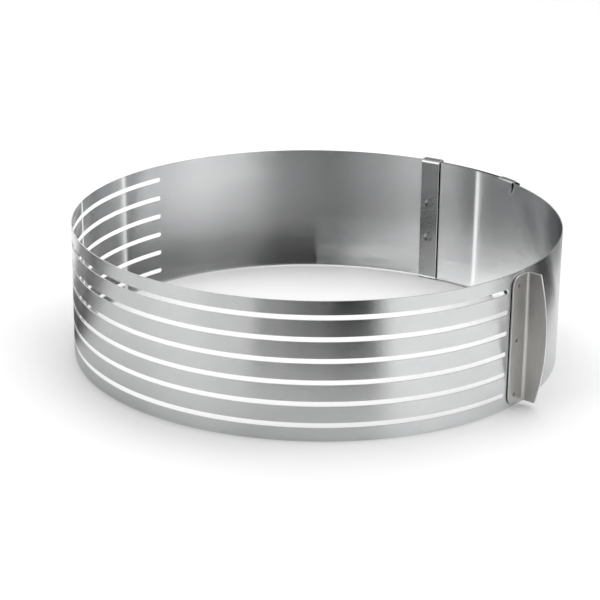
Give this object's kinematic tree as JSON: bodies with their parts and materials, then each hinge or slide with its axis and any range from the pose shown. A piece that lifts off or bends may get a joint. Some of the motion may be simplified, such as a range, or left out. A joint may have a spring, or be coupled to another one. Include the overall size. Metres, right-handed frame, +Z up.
{
  "type": "adjustable cake slicing ring",
  "caption": "Round slotted steel band with overlapping ends that slide in folded guides to change its diameter, and a bent finger handle; its level slots guide a blade through a cake.",
  "frame": {"origin": "on the worktop under the ring's centre, at the bottom centre of the object's box", "axes": "+Z up along the ring's axis, -Y towards the picture's front, the handle at the front right between +X and -Y"},
  "size_m": [0.2964, 0.2967, 0.0838],
  "materials": {
    "band_steel": "semi-bright rolled stainless strip",
    "handle_steel": "satin stainless sheet",
    "clip_steel": "satin stainless sheet"
  },
  "bodies": {
    "slotted_front": {"slotted_front_slat_1": "band_steel", "slotted_front_slat_2": "band_steel", "slotted_front_slat_3": "band_steel", "slotted_front_slat_4": "band_steel", "slotted_front_slat_5": "band_steel", "slotted_front_slat_6": "band_steel", "slotted_front_slat_7": "band_steel"},
    "slotted_right": {"slotted_right_slat_1": "band_steel", "slotted_right_slat_2": "band_steel", "slotted_right_slat_3": "band_steel", "slotted_right_slat_4": "band_steel", "slotted_right_slat_5": "band_steel", "slotted_right_slat_6": "band_steel", "slotted_right_slat_7": "band_steel"},
    "right_slot_end": {"right_slot_end": "band_steel", "handle": "handle_steel"},
    "inner_tail_1": {"inner_tail_1": "band_steel"},
    "inner_tail_2": {"inner_tail_2": "band_steel"},
    "inner_tail_3": {"inner_tail_3": "band_steel"},
    "inner_tail_4": {"inner_tail_4": "band_steel", "guide_clip": "clip_steel"},
    "slotted_left": {"slotted_left_slat_1": "band_steel", "slotted_left_slat_2": "band_steel", "slotted_left_slat_3": "band_steel", "slotted_left_slat_4": "band_steel", "slotted_left_slat_5": "band_steel", "slotted_left_slat_6": "band_steel", "slotted_left_slat_7": "band_steel"},
    "left_slot_end": {"left_slot_end": "band_steel"},
    "outer_tail_1": {"outer_tail_1": "band_steel"},
    "outer_tail_2": {"outer_tail_2": "band_steel"},
    "outer_tail_3": {"outer_tail_3": "band_steel"},
    "outer_tail_4": {"outer_tail_4": "band_steel"}
  },
  "joints": [
    {"name": "bend_right_1", "type": "hinge", "parent": "slotted_front", "child": "slotted_right", "pos_m": [-0.04939, -0.13952, 0.0419], "axis": [0, 0, 1], "range_deg": [-0.69, 11.57]},
    {"name": "bend_right_2", "type": "hinge", "parent": "slotted_right", "child": "right_slot_end", "pos_m": [0.07471, -0.12776, 0.0419], "axis": [0, 0, 1], "range_deg": [-0.53, 8.72]},
    {"name": "bend_right_3", "type": "hinge", "parent": "right_slot_end", "child": "inner_tail_1", "pos_m": [0.12194, -0.08387, 0.0419], "axis": [0, 0, 1], "range_deg": [-0.35, 5.67]},
    {"name": "bend_right_4", "type": "hinge", "parent": "inner_tail_1", "child": "inner_tail_2", "pos_m": [0.14541, -0.02712, 0.0419], "axis": [0, 0, 1], "range_deg": [-0.34, 5.48]},
    {"name": "bend_right_5", "type": "hinge", "parent": "inner_tail_2", "child": "inner_tail_3", "pos_m": [0.14364, 0.03426, 0.0419], "axis": [0, 0, 1], "range_deg": [-0.34, 5.48]},
    {"name": "bend_right_6", "type": "hinge", "parent": "inner_tail_3", "child": "inner_tail_4", "pos_m": [0.11695, 0.08957, 0.0419], "axis": [0, 0, 1], "range_deg": [-0.34, 5.48]},
    {"name": "bend_left_1", "type": "hinge", "parent": "slotted_front", "child": "slotted_left", "pos_m": [-0.13845, -0.0523, 0.0419], "axis": [0, 0, -1], "range_deg": [-0.7, 11.58]},
    {"name": "bend_left_2", "type": "hinge", "parent": "slotted_left", "child": "left_slot_end", "pos_m": [-0.1293, 0.07202, 0.0419], "axis": [0, 0, -1], "range_deg": [-0.53, 8.72]},
    {"name": "bend_left_3", "type": "hinge", "parent": "left_slot_end", "child": "outer_tail_1", "pos_m": [-0.0864, 0.12016, 0.0419], "axis": [0, 0, -1], "range_deg": [-0.33, 5.28]},
    {"name": "bend_left_4", "type": "hinge", "parent": "outer_tail_1", "child": "outer_tail_2", "pos_m": [-0.0302, 0.14492, 0.0419], "axis": [0, 0, -1], "range_deg": [-0.29, 4.69]},
    {"name": "bend_left_5", "type": "hinge", "parent": "outer_tail_2", "child": "outer_tail_3", "pos_m": [0.03122, 0.1448, 0.0419], "axis": [0, 0, -1], "range_deg": [-0.33, 5.27]},
    {"name": "bend_left_6", "type": "hinge", "parent": "outer_tail_3", "child": "outer_tail_4", "pos_m": [0.08762, 0.12039, 0.0419], "axis": [0, 0, -1], "range_deg": [-0.36, 5.85]}
  ],
  "couplings": [
    {"joint": "bend_right_2", "follows": "bend_right_1", "ratio": 0.75259},
    {"joint": "bend_right_3", "follows": "bend_right_1", "ratio": 0.48862},
    {"joint": "bend_right_4", "follows": "bend_right_1", "ratio": 0.47205},
    {"joint": "bend_right_5", "follows": "bend_right_1", "ratio": 0.47205},
    {"joint": "bend_right_6", "follows": "bend_right_1", "ratio": 0.47205},
    {"joint": "bend_left_1", "follows": "bend_right_1", "ratio": 1},
    {"joint": "bend_left_2", "follows": "bend_right_1", "ratio": 0.75259},
    {"joint": "bend_left_3", "follows": "bend_right_1", "ratio": 0.45469},
    {"joint": "bend_left_4", "follows": "bend_right_1", "ratio": 0.40418},
    {"joint": "bend_left_5", "follows": "bend_right_1", "ratio": 0.45446},
    {"joint": "bend_left_6", "follows": "bend_right_1", "ratio": 0.50474}
  ]
}
